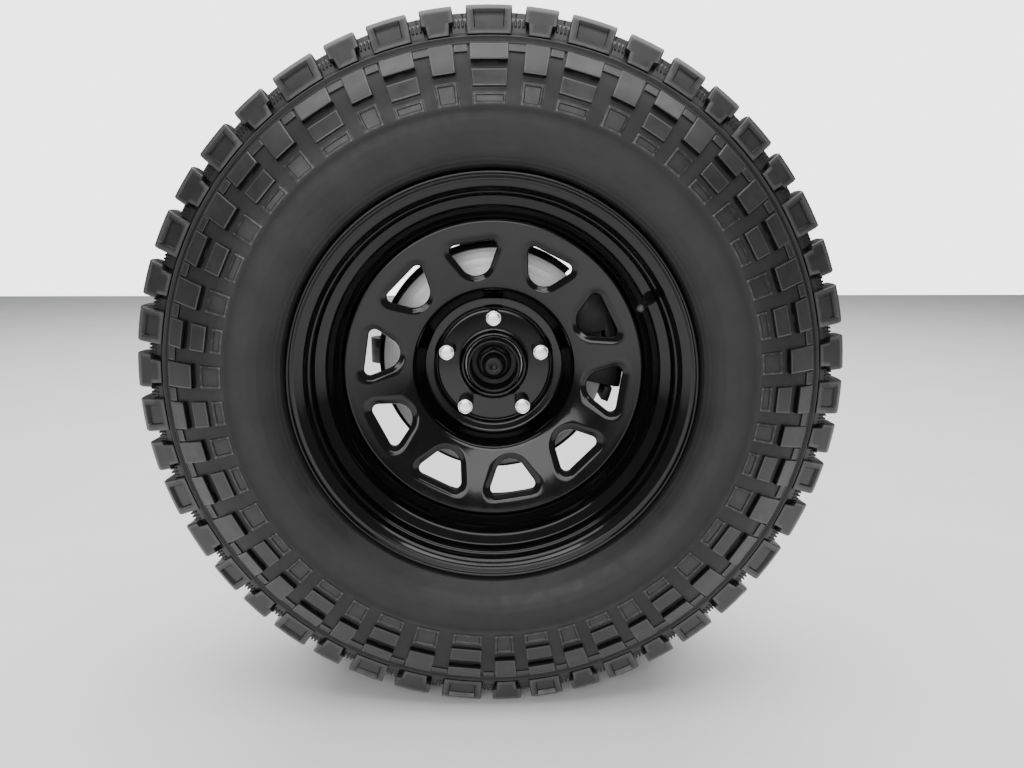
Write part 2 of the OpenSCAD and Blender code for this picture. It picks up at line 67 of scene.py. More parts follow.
def onWheel(radius, depth, clock):
    # x = r sin a, z = r cos a, y = mounting face + depth; a turns clockwise from the top, seen from outboard
    radius, depth, clock = np.broadcast_arrays(radius, depth, clock)
    return np.stack([radius * np.sin(clock), faceY + depth, radius * np.cos(clock)], -1)


def fullTurn(count):
    # a_k = 2 pi k / count
    return np.linspace(0, 2 * np.pi, count, endpoint=False)


def mirrored(values, between=()):
    # a list, then what stands in its middle, then the list backwards
    return np.concatenate([values, between, values[::-1]])


def gridFaces(rows, columns, wrapRows=False, wrapColumns=False):
    # one quad (i, j) (i, j+1) (i+1, j+1) (i+1, j) for each cell of a grid numbered row by row
    i = np.arange(rows if wrapRows else rows - 1)[:, None]
    j = np.arange(columns if wrapColumns else columns - 1)[None, :]
    near, far, right = i * columns, (i + 1) % rows * columns, (j + 1) % columns
    return np.stack([near + j, near + right, far + right, far + j], -1).reshape(-1, 4)


def rounded(corners, radius, steps=5, closed=True):
    # each corner C becomes (1-t)^2 A + 2t(1-t) C + t^2 B, where A and B lie one radius away on its two sides
    corners = np.array(corners, float)
    toBefore, toAfter = np.roll(corners, 1, 0) - corners, np.roll(corners, -1, 0) - corners
    before, after = np.linalg.norm(toBefore, axis=1), np.linalg.norm(toAfter, axis=1)
    radius = np.broadcast_to(np.array(radius, float), len(corners))
    a = corners + toBefore * (np.minimum(radius, before * 0.45) / before)[:, None]
    b = corners + toAfter * (np.minimum(radius, after * 0.45) / after)[:, None]
    if not closed:
        a[0], b[0], a[-1], b[-1] = corners[0], corners[0], corners[-1], corners[-1]
    t = np.linspace(0, 1, steps)[None, :, None]
    curve = (1 - t) ** 2 * a[:, None] + 2 * t * (1 - t) * corners[:, None] + t ** 2 * b[:, None]
    return curve.reshape(-1, 2)


def turned(outline, steps, wrap=True):
    # P(k, a) = outline point k = (radius, depth), turned to clock angle a about the wheel's axis
    points = onWheel(outline[:, :1], outline[:, 1:], fullTurn(steps)[None, :])
    return points.reshape(-1, 3), gridFaces(len(outline), steps, wrap, True).tolist()


def turnedAbout(outline, start, along, steps, across=None):
    # P(k, a) = start + along h + r (e cos a + f sin a), for outline points (r, h, share);
    # on a nut r moves to r + (w(a) - r) share, where w(a) is the six-sided outline for flats that far apart
    outline = np.array(outline, float)
    along = np.array(along, float) / np.linalg.norm(along)
    e = np.cross(along, [0.0, 0.0, 1.0])
    e /= np.linalg.norm(e)
    f = np.cross(along, e)
    angle = fullTurn(steps)
    r = outline[:, :1] * np.ones(steps)
    if across is not None:
        r = r + (sixSided(angle, *across)[None, :] - r) * outline[:, 2:]
    ring = np.cos(angle)[:, None] * e + np.sin(angle)[:, None] * f
    points = np.array(start, float) + outline[:, 1, None, None] * along + r[..., None] * ring[None]
    return points.reshape(-1, 3), gridFaces(len(outline), steps, False, True).tolist()


def sixSided(angle, half, corner):
    # half the width across flats over cos(angle from the nearest flat), cut off at the corner's radius
    near = (angle + np.pi / 6) % (np.pi / 3) - np.pi / 6
    return np.minimum(half / np.cos(near), corner)


def joined(parts):
    # several (points, faces) pairs as one pair: each one's faces move up by the points before it
    starts = np.cumsum([0] + [len(points) for points, _ in parts])
    faces = [[k + start for k in face] for (_, part), start in zip(parts, starts) for face in part]
    return np.concatenate([points for points, _ in parts]), faces


def addObject(name, data):
    # it stays at the origin, so its place is in its mesh
    thing = bpy.data.objects.new(name, data)
    bpy.context.scene.collection.objects.link(thing)
    return thing


def shadeSmooth(mesh, sharp):
    # smooth faces, and a sharp edge wherever two of them meet at more than this many degrees
    mesh.polygons.foreach_set("use_smooth", [True] * len(mesh.polygons))
    mesh.set_sharp_from_angle(angle=math.radians(sharp))


def makePiece(name, shape, material, body, replaces=(), sharp=40, paintedLight=None):
    # an attribute of painted light for the rubber's colour: 1 is the darkest painted shade, in corners, creases and
    # under edges, 0 an open face, and below 0 a painted highlight on edges
    points, faces = shape
    mesh = bpy.data.meshes.new(name)
    mesh.from_pydata((points * mm).tolist(), [], faces)
    if paintedLight is not None:
        values = mesh.attributes.new("paintedLight", "FLOAT", "POINT").data
        values.foreach_set("value", paintedLight.astype(np.float32).ravel())
    work = bmesh.new()
    work.from_mesh(mesh)
    bmesh.ops.remove_doubles(work, verts=work.verts, dist=2e-6)
    bmesh.ops.recalc_face_normals(work, faces=work.faces)
    work.to_mesh(mesh)
    work.free()
    shadeSmooth(mesh, sharp)
    mesh.materials.append(material)
    piece = addObject(name, mesh)
    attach(piece, body)
    if replaces:
        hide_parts(*replaces)
    return piece


def softened(node, radius, material, body):
    # a merged copy of a CAD node with its edges rounded, as a casting or forging has them
    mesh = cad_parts[node].data.copy()
    work = bmesh.new()
    work.from_mesh(mesh)
    bmesh.ops.remove_doubles(work, verts=work.verts, dist=1e-5)
    bmesh.ops.dissolve_limit(work, angle_limit=math.radians(0.6), verts=work.verts, edges=work.edges)
    work.to_mesh(mesh)
    work.free()
    mesh.materials.clear()
    mesh.materials.append(material)
    piece = addObject(node + "_finished", mesh)
    edge = piece.modifiers.new("edge", "BEVEL")
    edge.width, edge.segments, edge.limit_method = radius * mm, 2, "ANGLE"
    edge.angle_limit = math.radians(34)
    finished = bpy.data.meshes.new_from_object(piece.evaluated_get(bpy.context.evaluated_depsgraph_get()))
    piece.modifiers.clear()
    piece.data = finished
    finished.name = node + "_finished"
    shadeSmooth(finished, 32)
    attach(piece, body)
    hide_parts(node)


def linear(text):
    # sRGB hex to linear light: c / 12.92 up to 0.04045, and ((c + 0.055) / 1.055)^2.4 above
    c = np.array([int(text[k:k + 2], 16) for k in (1, 3, 5)]) / 255
    c = np.where(c <= 0.04045, c / 12.92, ((c + 0.055) / 1.055) ** 2.4)
    return (*c.tolist(), 1.0)


def addNode(tree, kind, inputs=None, **settings):
    # one node with its settings, its socket values and its links
    node = tree.nodes.new(kind)
    for key, value in settings.items():
        setattr(node, key, value)
    for key, value in (inputs or {}).items():
        if isinstance(value, bpy.types.NodeSocket):
            tree.links.new(value, node.inputs[key])
        else:
            node.inputs[key].default_value = value
    return node


def newFinish(name, look):
    # two close tones in patches, a shine that drifts and a fine bump, each from noise of a real size in
    # millimetres; a turned finish takes its noise from sqrt(x^2 + z^2), the distance from the wheel's axis
    material = bpy.data.materials.new(name)
    material.use_nodes = True
    tree = material.node_tree
    shader = tree.nodes["Principled BSDF"]
    for key, value in look["surface"].items():
        shader.inputs[key].default_value = value
    place = addNode(tree, "ShaderNodeTexCoord").outputs["Object"]
    where, dimensions = {"Vector": place}, "3D"
    if look.get("turned"):
        flat = addNode(tree, "ShaderNodeVectorMath", {0: place, 1: (1.0, 0.0, 1.0)}, operation="MULTIPLY")
        length = addNode(tree, "ShaderNodeVectorMath", {0: flat.outputs[0]}, operation="LENGTH")
        where, dimensions = {"W": length.outputs["Value"]}, "1D"
    patch, shine, grain = [
        addNode(tree, "ShaderNodeTexNoise", {**where, "Scale": 1 / (size * mm), "Detail": 3.0},
                noise_dimensions=dimensions).outputs["Fac"]
        for size in look["sizes"]]
    share = addNode(tree, "ShaderNodeMapRange", {0: patch, 1: 0.3, 2: 0.7}).outputs[0]
    first, second = [linear(tone) for tone in look["tones"]]
    tone = addNode(tree, "ShaderNodeMix", {0: share, 6: first, 7: second}, data_type="RGBA").outputs[2]
    low, high = look["roughness"]
    rough = addNode(tree, "ShaderNodeMapRange", {0: shine, 1: 0.3, 2: 0.7, 3: low, 4: high}).outputs[0]
    bumped = addNode(tree, "ShaderNodeBump", {"Height": grain, "Strength": 0.6, "Distance": look["depth"] * mm})
    for key, value in (("Base Color", tone), ("Roughness", rough), ("Normal", bumped.outputs[0])):
        tree.links.new(value, shader.inputs[key])
    return {"material": material, "tree": tree, "shader": shader, "place": place, "tone": tone}


def withPaintedShadeAndHighlight(made, look):
    # the piece's own attribute runs from 1, the darkest painted shade in corners, creases and under edges, through 0
    # to -0.3, a painted highlight on the edges
    tree = made["tree"]
    # painted shade darkens the rubber's colour and a painted highlight lightens it, both read from this attribute
    corner = addNode(tree, "ShaderNodeAttribute", attribute_name="paintedLight").outputs["Fac"]
    paintedHighlight = addNode(tree, "ShaderNodeMapRange", {0: corner, 1: -0.05, 2: -0.3}).outputs[0]
    shadeShare = addNode(tree, "ShaderNodeMapRange", {0: corner, 1: 0.0, 2: 0.9}).outputs[0]
    highlightedTone = addNode(tree, "ShaderNodeMix", {0: paintedHighlight, 6: made["tone"], 7: linear(look["paintedHighlight"])}, data_type="RGBA")
    both = addNode(tree, "ShaderNodeMix", {0: shadeShare, 6: highlightedTone.outputs[2], 7: linear(look["corner"])}, data_type="RGBA")
    tree.links.new(both.outputs[2], made["shader"].inputs["Base Color"])
    return made["material"]


def withStain(made, look):
    # a little rust where broad noise is high
    tree = made["tree"]
    broad = addNode(tree, "ShaderNodeTexNoise",
                    {"Vector": made["place"], "Scale": 1 / (look["stainSize"] * mm), "Detail": 3.0}).outputs["Fac"]
    stain = addNode(tree, "ShaderNodeMapRange", {0: broad, 1: 0.62, 2: 0.8, 3: 0.0, 4: 0.5}).outputs[0]
    both = addNode(tree, "ShaderNodeMix", {0: stain, 6: made["tone"], 7: linear(look["rust"])}, data_type="RGBA")
    tree.links.new(both.outputs[2], made["shader"].inputs["Base Color"])
    return made["material"]


# sizes are those of the patches, of the changes in shine and of the grain, in millimetres, and depth is the bump's
looks = {
    # carbon-black tyre rubber, moulded: dark grey with a low satin sheen, with painted shade in its corners and
    # creases and a painted highlight on its edges; its grain is drawn coarser than the real 0.3 mm, to show
    "moulded_tyre_rubber": {
        "surface": {"IOR": 1.52, "Specular IOR Level": 0.3}, "tones": ("#1a1a1a", "#232323"),
        # the corner colour is the painted shade, the last colour the painted highlight
        "roughness": (0.42, 0.54), "sizes": (45, 12, 1.6), "depth": 0.12, "corner": "#030303", "paintedHighlight": "#3f3f3f"},
    # the same rubber on the tread and side blocks, smoother and shinier where the mould was polished, with the same
    # painted shade and painted highlight
    "moulded_tread_rubber": {
        "surface": {"IOR": 1.52, "Specular IOR Level": 0.5}, "tones": ("#1a1a1a", "#232323"),
        # the corner colour is the painted shade, the last colour the painted highlight
        "roughness": (0.3, 0.44), "sizes": (45, 12, 1.6), "depth": 0.12, "corner": "#030303", "paintedHighlight": "#3f3f3f"},
    # gloss black powder coat on pressed steel: deep black with a clear, faintly rippled shine
    "gloss_black_powder_coat": {
        "surface": {"IOR": 1.5, "Specular IOR Level": 0.38}, "tones": ("#050505", "#080808"),
        "roughness": (0.08, 0.13), "sizes": (60, 20, 5.0), "depth": 0.03},
    # chromium plate on steel: nearly white, mirror bright with a faint haze
    "chromium_plate": {
        "surface": {"Metallic": 1.0}, "tones": ("#f0f1f3", "#fafafa"),
        "roughness": (0.24, 0.32), "sizes": (9, 4, 3), "depth": 0.004},
    # grey cast iron, turned and swept by the pads: bright fine rings, a little uneven
    "turned_brake_iron": {
        "surface": {"Metallic": 0.5}, "tones": ("#d6d6d6", "#f4f4f4"),
        "roughness": (0.34, 0.48), "sizes": (1.4, 6, 1.4), "depth": 0.03, "turned": True},
    # ductile iron, sand cast and coated: dark, matt and grainy, with a trace of rust
    "coated_cast_iron": {
        "surface": {}, "tones": ("#29292a", "#3a3a3b"), "roughness": (0.46, 0.6), "sizes": (14, 10, 1.8),
        "depth": 0.25, "rust": "#3f2f24", "stainSize": 32},
    # the brake's castings, dipped in black: darker and a little smoother
    "black_dipped_iron": {
        "surface": {}, "tones": ("#121213", "#1b1b1c"), "roughness": (0.38, 0.52), "sizes": (14, 10, 1.8),
        "depth": 0.2, "rust": "#241b15", "stainSize": 32},
    # machined hub steel, oiled: nearly black, with a soft metal shine
    "oiled_dark_steel": {
        "surface": {"Metallic": 0.6}, "tones": ("#161616", "#242424"),
        "roughness": (0.34, 0.5), "sizes": (10, 6, 1.2), "depth": 0.02},
    # forged and part-machined steel: mid grey, satin
    "forged_axle_steel": {
        "surface": {"Metallic": 0.8}, "tones": ("#3c3c3e", "#56565a"),
        "roughness": (0.36, 0.52), "sizes": (10, 6, 1.5), "depth": 0.02},
    # zinc plate: pale grey, fairly bright
    "zinc_plated_steel": {
        "surface": {"Metallic": 0.9}, "tones": ("#7d7f83", "#9b9da1"),
        "roughness": (0.28, 0.42), "sizes": (10, 6, 1.0), "depth": 0.02},
    # sprayed black sheet: even, half matt
    "black_sprayed_sheet": {
        "surface": {}, "tones": ("#1b1b1c", "#242425"),
        "roughness": (0.46, 0.56), "sizes": (10, 8, 2.0), "depth": 0.05},
    # pressed friction lining: dull, brownish and speckled
    "pressed_brake_lining": {
        "surface": {}, "tones": ("#2b2826", "#423e3a"),
        "roughness": (0.8, 0.9), "sizes": (2.5, 6, 1.2), "depth": 0.3},
    # moulded valve rubber: soft black
    "valve_rubber": {
        "surface": {}, "tones": ("#0d0d0d", "#141414"),
        "roughness": (0.4, 0.5), "sizes": (7.5, 6, 1.5), "depth": 0.04},
    # moulded nylon cap: black with a slight gloss
    "valve_cap_plastic": {
        "surface": {}, "tones": ("#151516", "#1d1d1e"),
        "roughness": (0.3, 0.4), "sizes": (10, 6, 2.0), "depth": 0.02},
}
made = {name: newFinish(name, look) for name, look in looks.items()}
rubber, blockRubber = [
    withPaintedShadeAndHighlight(made[name], looks[name]) for name in ("moulded_tyre_rubber", "moulded_tread_rubber")]
casting, brakeCasting = [withStain(made[name], looks[name]) for name in ("coated_cast_iron", "black_dipped_iron")]
paint, chrome, brakeIron, darkSteel, forged, zinc, shieldCoat, lining, valveRubber, capPlastic = [
    made[name]["material"] for name in (
        "gloss_black_powder_coat", "chromium_plate", "turned_brake_iron", "oiled_dark_steel", "forged_axle_steel",
        "zinc_plated_steel", "black_sprayed_sheet", "pressed_brake_lining", "valve_rubber", "valve_cap_plastic")]
print("finishes ready")

tyre = {
    "cells": "LSLMSSSSMMMMSSSLLLMSSSSSLLMSMSSLMSSMSMMMMMLSMS",   # wide and narrow cells in turn, varied to cut noise
    "wide": {"S": 7.6, "M": 8.5, "L": 9.5},                         # relative arcs
    "narrow": {"S": 6.6, "M": 7.4, "L": 8.3},
    "firstAt": -0.4,                                                 # middle of the first wide cell, degrees
    "inboardTurn": 8.0,                                              # the inboard pattern is turned by half a cell
    "crownTurn": 3.9,                                                # the crown's blocks stand this far off the lugs
    "treadDepth": 15.0, "crownDrop": 10.0, "crownHalf": 118.0,
    "beadRibs": {"height": 0.45, "pitch": 4.2, "crest": 244.0, "inner": 242.0, "outer": 256.0},
    "steps": 360,
}
# sections are lists of radius and distance from the middle plane
sideCurve = np.array([  # the plain side between bead and shoulder ring
    [239.6, 118.5], [241.5, 122.5], [245.0, 127.5], [250.0, 133.0], [257.0, 138.6], [266.0, 143.4], [276.0, 146.7],
    [287.0, 148.3], [296.5, 148.6], [299.5, 149.5], [302.0, 150.4], [310.0, 150.5], [320.0, 149.4], [330.0, 147.3],
    [339.0, 144.7], [347.0, 141.7], [356.0, 137.6], [365.0, 133.0]])
ringHalf = [[376.4, 124.8], [375.2, 129.6], [374.2, 130.6], [372.8, 130.0], [371.0, 129.6], [368.8, 131.4],
            [368.0, 134.0], [366.6, 134.8], [365.4, 133.6]]
beadHalf = [[238.2, 115.6], [233.5, 114.2], [222.5, 114.2], [218.7, 112.5], [218.7, 93.0], [226.0, 91.0]]
insideHalf = [[238.0, 105.0], [262.0, 130.0], [300.0, 137.0], [344.0, 127.0], [374.0, 106.0], [385.0, 60.0],
              [386.5, 0]]
shadeAt = np.array([  # radius, and the painted shade there: 1 darkest, 0 none, below 0 a painted light line
    [236.5, 1], [239.5, 0.9], [241.5, 0], [292, 0], [296, 0.45], [299, 0.45], [301, 0], [366.5, 0], [368.2, 0.35],
    [371, 0.45], [373.4, 0.3], [374.4, -0.3], [376.6, 0.5], [380, 0.95], [392, 0.95], [400, 0.8]])

isWide = np.arange(len(tyre["cells"])) % 2 == 0
cellArc = np.array([tyre["wide" if wide else "narrow"][size] for size, wide in zip(tyre["cells"], isWide)])
cellArc = np.radians(cellArc * 360 / cellArc.sum())
cellAt = np.cumsum(cellArc) - cellArc / 2 - cellArc[0] / 2 + math.radians(tyre["firstAt"])
sides = ((-1, 0.0), (1, math.radians(tyre["inboardTurn"])))   # outboard and inboard, and how far each is turned


def crownRadius(w):
    # the tread's top: R - drop (w / half)^4, w from the middle plane
    return treadRadius - tyre["crownDrop"] * (np.abs(w) / tyre["crownHalf"]) ** 4


def sideWidth(radius):
    # straight lines between the side curve's points
    return np.interp(radius, sideCurve[:, 0], sideCurve[:, 1])


def sideNormal(radius):
    # (dR, dw) square on the side: (-w', 1) over its length, with the slope taken over 10 mm
    slope = (sideWidth(radius + 5) - sideWidth(radius - 5)) / 10
    return np.stack([-slope, np.ones_like(slope)], -1) / np.sqrt(1 + slope ** 2)[..., None]


def carcassOutline():
    # half the section from the crown's floor round to the inside, each corner rounded, then its mirror image;
    # the bead's fine ribs add height max(0, cos(2 pi (R - crest) / pitch)) to the width
    depth = tyre["treadDepth"]
    floorHalf = [[treadRadius - depth, 0], [crownRadius(60) - depth, 60], [crownRadius(96) - depth + 2, 98],
                 [395.0, 110.5], [386.5, 118.5], [378.6, 123.6]]
    half = rounded(floorHalf + ringHalf + sideCurve[::-1].tolist() + beadHalf + insideHalf, 2.4, 4, closed=False)
    ribs, (radius, width) = tyre["beadRibs"], half.T
    ribbed = (radius > ribs["inner"]) & (radius < ribs["outer"]) & (width > 118)
    half[:, 1] += ribs["height"] * np.maximum(0, np.cos((radius - ribs["crest"]) * 2 * np.pi / ribs["pitch"])) * ribbed
    whole = np.concatenate([half, half[-2:0:-1] * [1, -1]])
    return np.stack([whole[:, 0], middle - whole[:, 1]], -1)


def carcassShade(section):
    # painted shade between the lugs, in the ring groove, in the tread's voids and where the bead meets the rim, with a
    # painted light line on the ring at 374.4 mm
    shade = np.interp(section[:, 0], shadeAt[:, 0], shadeAt[:, 1])
    return np.where(np.abs(section[:, 1] - middle) < 100, 0.8, shade)


carcass = carcassOutline()
makePiece("tyre_carcass", turned(carcass, tyre["steps"]), rubber, "wheel", ["tyre"],
          paintedLight=np.repeat(carcassShade(carcass), tyre["steps"]))


def liftedGrid(at, arc, share, columns, foot, face, height, recess, side, paintedLight=None, swing=0.0):
    # one raised block a cell: P = foot + (face - foot) h - recess n, in (radius, width), with h 0 at the foot and
    # 1 on top; for columns (f, o) the clock angle = cell + arc share f + (o + swing) / face radius
    rows, wide = len(face), len(columns)
    away = face - foot
    n = away / np.linalg.norm(away, axis=1)[:, None]
    flat = foot[:, None] + away[:, None] * height[..., None] - n[:, None] * recess[..., None]
    offset = (columns[:, 1][None, :] + swing) / face[:, :1]
    clock = at[:, None, None] + arc[:, None, None] * share[None, :, None] * columns[:, 0][None, None, :] + offset[None]
    points = onWheel(flat[None, ..., 0], middle + side * flat[None, ..., 1], clock)
    border = np.concatenate([np.arange(wide), np.arange(2 * wide - 1, rows * wide, wide),
                             np.arange(rows * wide - 2, (rows - 1) * wide - 1, -1),
                             np.arange((rows - 2) * wide, 0, -wide)])      # closes the block's underside
    starts = np.arange(len(at))[:, None] * rows * wide
    quads = (gridFaces(rows, wide)[None] + starts[..., None]).reshape(-1, 4).tolist()
    # without given values, painted shade grows toward the foot as sqrt(1 - h)
    paintedLight = np.clip(1 - height, 0, 1) ** 0.5 if paintedLight is None else paintedLight
    paintedLight = np.broadcast_to(paintedLight[None], (len(at), rows, wide))
    return points.reshape(-1, 3), quads + (border[None] + starts).tolist(), paintedLight.ravel()


def blocksPiece(name, parts):
    # all of one kind of block as one piece
    shape = joined([(points, faces) for points, faces, _ in parts])
    paintedLight = np.concatenate([paintedLight for _, _, paintedLight in parts])
    makePiece(name, shape, blockRubber, "wheel", sharp=28, paintedLight=paintedLight)


sideBlocks = {
    # inner and outer radius, lift above the side at each, depth of a sunk panel (0 where the top is plain),
    # how far the inner edge is cut back, and the width of the painted shade line below it
    "wide": [(346.0, 366.3, 6.0, 1.9, 0, 1.6, 2.6), (320.5, 338.0, 3.4, 2.6, 0, 0.5, 1.5),
             (302.5, 314.5, 1.8, 1.8, 1.3, 0, 1.1)],
    "narrow": [(333.8, 366.3, 5.6, 1.9, 0, 1.6, 2.6), (302.5, 325.5, 2.0, 2.0, 1.5, 0, 1.1)],
    "channel": [(357.2, 366.0, 1.6, 1.3, 0, 0, 0.8)],                # the low step between two blocks
    "share": {"wide": 0.332, "narrow": 0.304, "channel": 0.16},      # half-width, as a share of the cell's arc
    "bevel": 0.9, "border": 2.5,                                      # widths of the edge and of a panel's border
    "line": 1.2, "lineLift": 0.12,                                    # the painted shade line round a block, a hair proud
    # the painted highlight on the blocks' bevelled edges
    "paintedHighlight": -0.3,
}


def sideBlock(at, arc, row, share, side):
    # lift along the side's normal n: -1 at the foot, the line's lift round the block, then the top with its bevel;
    # a point takes the smaller of its row's and its column's lift, and P = side + n lift
    inner, outer, liftIn, liftOut, panel, under, below = row
    line, low, border = sideBlocks["line"], sideBlocks["lineLift"], sideBlocks["border"]
    innermost = [border, border + 0.8] if panel else [sideBlocks["bevel"] + 0.9]
    inset = np.array([-line - 0.8, -line, -0.2, 0.0, sideBlocks["bevel"]] + innermost)
    innerInset = np.concatenate([[-below - 0.8, -below, under], inset[3:]])
    radii = np.concatenate([inner + innerInset, [(inner + outer) / 2], outer - inset[::-1]])
    columns = np.array([(-1, k) for k in inset] + [(0, 0)] * bool(panel) + [(1, -k) for k in inset[::-1]])
    top, edge, ground, foot = 2.0, 1.0, 0.0, -1.0                     # marks: top face, bevel's edge, line, foot
    marks = np.array([foot, ground, ground, edge, top] + [top] * len(innermost))
    rowMarks, columnMarks = mirrored(marks, [top]), mirrored(marks, [top] * bool(panel))
    mark = np.minimum(rowMarks[:, None], columnMarks[None, :])
    full = np.interp(radii, [inner, outer], [liftIn, liftOut])[:, None]
    lift = np.select([mark == top, mark == edge, mark == ground], [full, full - 0.14 * np.minimum(full, 3), low], foot)
    # painted shade: 0.6 at the foot, 0.75 and 1 on the line round the block, 0.1 at the bevel's edge, then a painted
    # highlight on the bevel, and 0.5 just inside a sunk panel's edge
    shade = np.array([0.6, 0.75, 1.0, 0.1, sideBlocks["paintedHighlight"]] + ([0, 0.5] if panel else [0]))
    rowShade, columnShade = mirrored(shade, [0])[:, None], mirrored(shade, [0] * bool(panel))[None, :]
    paintedLight = np.where((rowShade > 0.05) | (columnShade > 0.05), np.maximum(rowShade, columnShade),
                       np.minimum(rowShade, columnShade))
    recess = np.zeros(mark.shape)
    if panel:
        recess[6:9, 6:9] = panel                                      # inside the border
    onSide = np.stack([radii, sideWidth(radii)], -1)
    return liftedGrid(at, arc, np.full(len(radii), share), columns, onSide, onSide + sideNormal(radii),
                      lift, recess, side, paintedLight)


sideParts = []
for side, turn in sides:
    for kind, at, arc in (("wide", cellAt[isWide], cellArc[isWide]), ("narrow", cellAt[~isWide], cellArc[~isWide]),
                          ("channel", cellAt + cellArc / 2, cellArc)):
        sideParts += [sideBlock(at + turn, arc, row, sideBlocks["share"][kind], side) for row in sideBlocks[kind]]
blocksPiece("side_blocks", sideParts)
print("tyre side done")

lug = {
    "rows": [  # face radius and width, foot radius and width, from the side ring up to the crown's edge
        [377.0, 128.4, 379.5, 122.5], [377.0, 128.8, 378.0, 122.5], [378.4, 128.5, 378.0, 122.0],
        [383.0, 127.0, 381.0, 121.0], [384.6, 126.5, 382.0, 120.0], [385.6, 126.2, 383.0, 119.5],
        [390.0, 124.7, 386.0, 117.0], [391.0, 124.4, 387.0, 116.0], [397.6, 122.0, 391.0, 112.0],
        [398.6, 121.7, 392.0, 111.0], [402.2, 120.5, 394.0, 109.0], [403.6, 120.0, 395.0, 108.0],
        [405.2, 119.2, 396.0, 107.0], [409.0, 114.6, 397.0, 103.0]],
    "crownWidths": [109.0, 101.0, 93.0, 84.0, 75.0, 70.0, 66.0, 64.8, 63.0],
    "reach": {"wide": 62.0, "narrow": 72.0},                          # where each kind ends on the crown
    "border": {"wide": 7.6, "narrow": 6.0}, "slope": {"wide": 1.2, "narrow": 1.0},
    "panel": 2.2, "panelTop": 3.8,                                     # depths of a wide lug's panel
    "share": 0.365, "endShare": 0.29,                                  # half-width at the side and at the crown's end
    "waist": (0.25, 0.275), "shoulder": 0.375,                         # a narrow lug's stem and its wider top
    "sipe": 6.0, "zigzag": 1.6,
}


def lugTable(reach):
    # side rows as listed, then crown rows w' = w0 - (w0 - w) (w0 - reach) / (w0 - w1), so that the last is at reach
    w = np.array(lug["crownWidths"])
    w = w[0] - (w[0] - w) * (w[0] - reach) / (w[0] - w[-1])
    crown = np.stack([crownRadius(w), w, crownRadius(w) - tyre["treadDepth"] - 0.5, w], -1)
    return np.concatenate([lug["rows"], crown])


def shoulderLug(at, arc, side, kind):
    # a lifted grid from the side ring over the shoulder; a wide lug has a sunk panel on rows 4 to 10, a narrow lug
    # has a stem on its first 7 rows; the sipe's columns swing by +zigzag and -zigzag in turn along the crown
    rows = lugTable(lug["reach"][kind])
    count, sideCount = len(rows), len(lug["rows"])
    ends = np.ones(count)
    ends[[0, -1]], ends[[1, -2]] = 0, 0.94
    share = np.full(count, lug["share"])
    share[sideCount:] = np.linspace(lug["share"], lug["endShare"], count - sideCount)
    border = lug["border"][kind]
    slope = border + lug["slope"][kind]
    left = [-0.8, 0, 1.1, border, slope, slope + 0.9]
    columns = np.array([(-1, k) for k in left] + [(0, k) for k in (-0.9, -0.5, 0.5, 0.9)]
                       + [(1, -k) for k in left[::-1]])
    across = mirrored([0, 0.93] + [1] * 6)
    height = np.minimum(ends[:, None], across[None, :])
    # painted shade grows toward the foot as sqrt(1 - h); the next line puts a painted highlight along the lug's top
    # edges
    recess, paintedLight = np.zeros(height.shape), np.clip(1 - height, 0, 1) ** 0.5
    paintedLight[2:-2, 2], paintedLight[2:-2, -3], paintedLight[2, 2:-2], paintedLight[11:13, 2:-2] = [sideBlocks["paintedHighlight"]] * 4
    if kind == "wide":
        recess[4:9, 4:12], recess[9:11, 4:12] = lug["panel"], lug["panelTop"]
        # painted shade round the inside of a wide lug's sunk panel, darkest along its outer edge
        paintedLight[4, 4:12], paintedLight[10, 4:12], paintedLight[4:11, 4], paintedLight[4:11, 11] = 0.7, 0.95, 0.7, 0.7
    else:
        share[:7] = np.linspace(*lug["waist"], 7)
        share[7:][share[7:] > 0.36] = lug["shoulder"]
    recess[sideCount + 1:sideCount + 6, 7:9] = lug["sipe"]
    swing = np.zeros(height.shape)
    swing[sideCount:, 6:10] = (lug["zigzag"] * (-1.0) ** np.arange(count - sideCount))[:, None]
    return liftedGrid(at, arc, share, columns, rows[:, 2:], rows[:, :2], height, recess, side, paintedLight, swing)


ledgeRibs = [  # offsets along the ledge between two lugs, inner and outer radius, half-width, and distance out
    ((0.0,), 375.5, 392.0, 7.4, -2.6), ((-4.3, 0.0, 4.3), 386.0, 394.6, 1.1, -0.9)]


def smallRibs(at, side, offsets, inner, outer, half, out):
    # short upright ribs: lifted grids whose face is a straight line from (376, 127) to (395, 119.6), moved out
    radii = np.array([inner - 0.5, inner, inner + 0.6, outer - 0.6, outer, outer + 0.5])
    face = np.stack([radii, np.interp(radii, [376, 395], [127.0, 119.6]) + out], -1)
    ends = mirrored([0, 0.9, 1])
    height = np.minimum(ends[:, None], ends[None, :])
    across = np.array([-half - 0.4, -half, -half + 0.5, half - 0.5, half, half + 0.4])
    return [liftedGrid(at, np.ones(len(at)), np.zeros(len(radii)), np.stack([0 * across, across + offset], -1),
                       face - [3.0, 9.0], face, height, np.zeros_like(height), side) for offset in offsets]


lugParts = []
for side, turn in sides:
    lugParts.append(shoulderLug(cellAt[isWide] + turn, cellArc[isWide], side, "wide"))
    lugParts.append(shoulderLug(cellAt[~isWide] + turn, cellArc[~isWide], side, "narrow"))
    for ribs in ledgeRibs:
        lugParts += smallRibs(cellAt + cellArc / 2 + turn, side, *ribs)
blocksPiece("shoulder_lugs", lugParts)

crownBlocks = {
    "width": (5.0, 56.0),                    # from the middle plane
    "lean": -0.32,                            # slant of a block across the tread
    "step": 4.5,                              # offset between its two halves
    "share": 0.405, "sipes": (-0.34, 0.34),   # half-width and places of the sipes, as shares of the cell's arc
    "sipe": 6.5, "zigzag": 1.3,
}


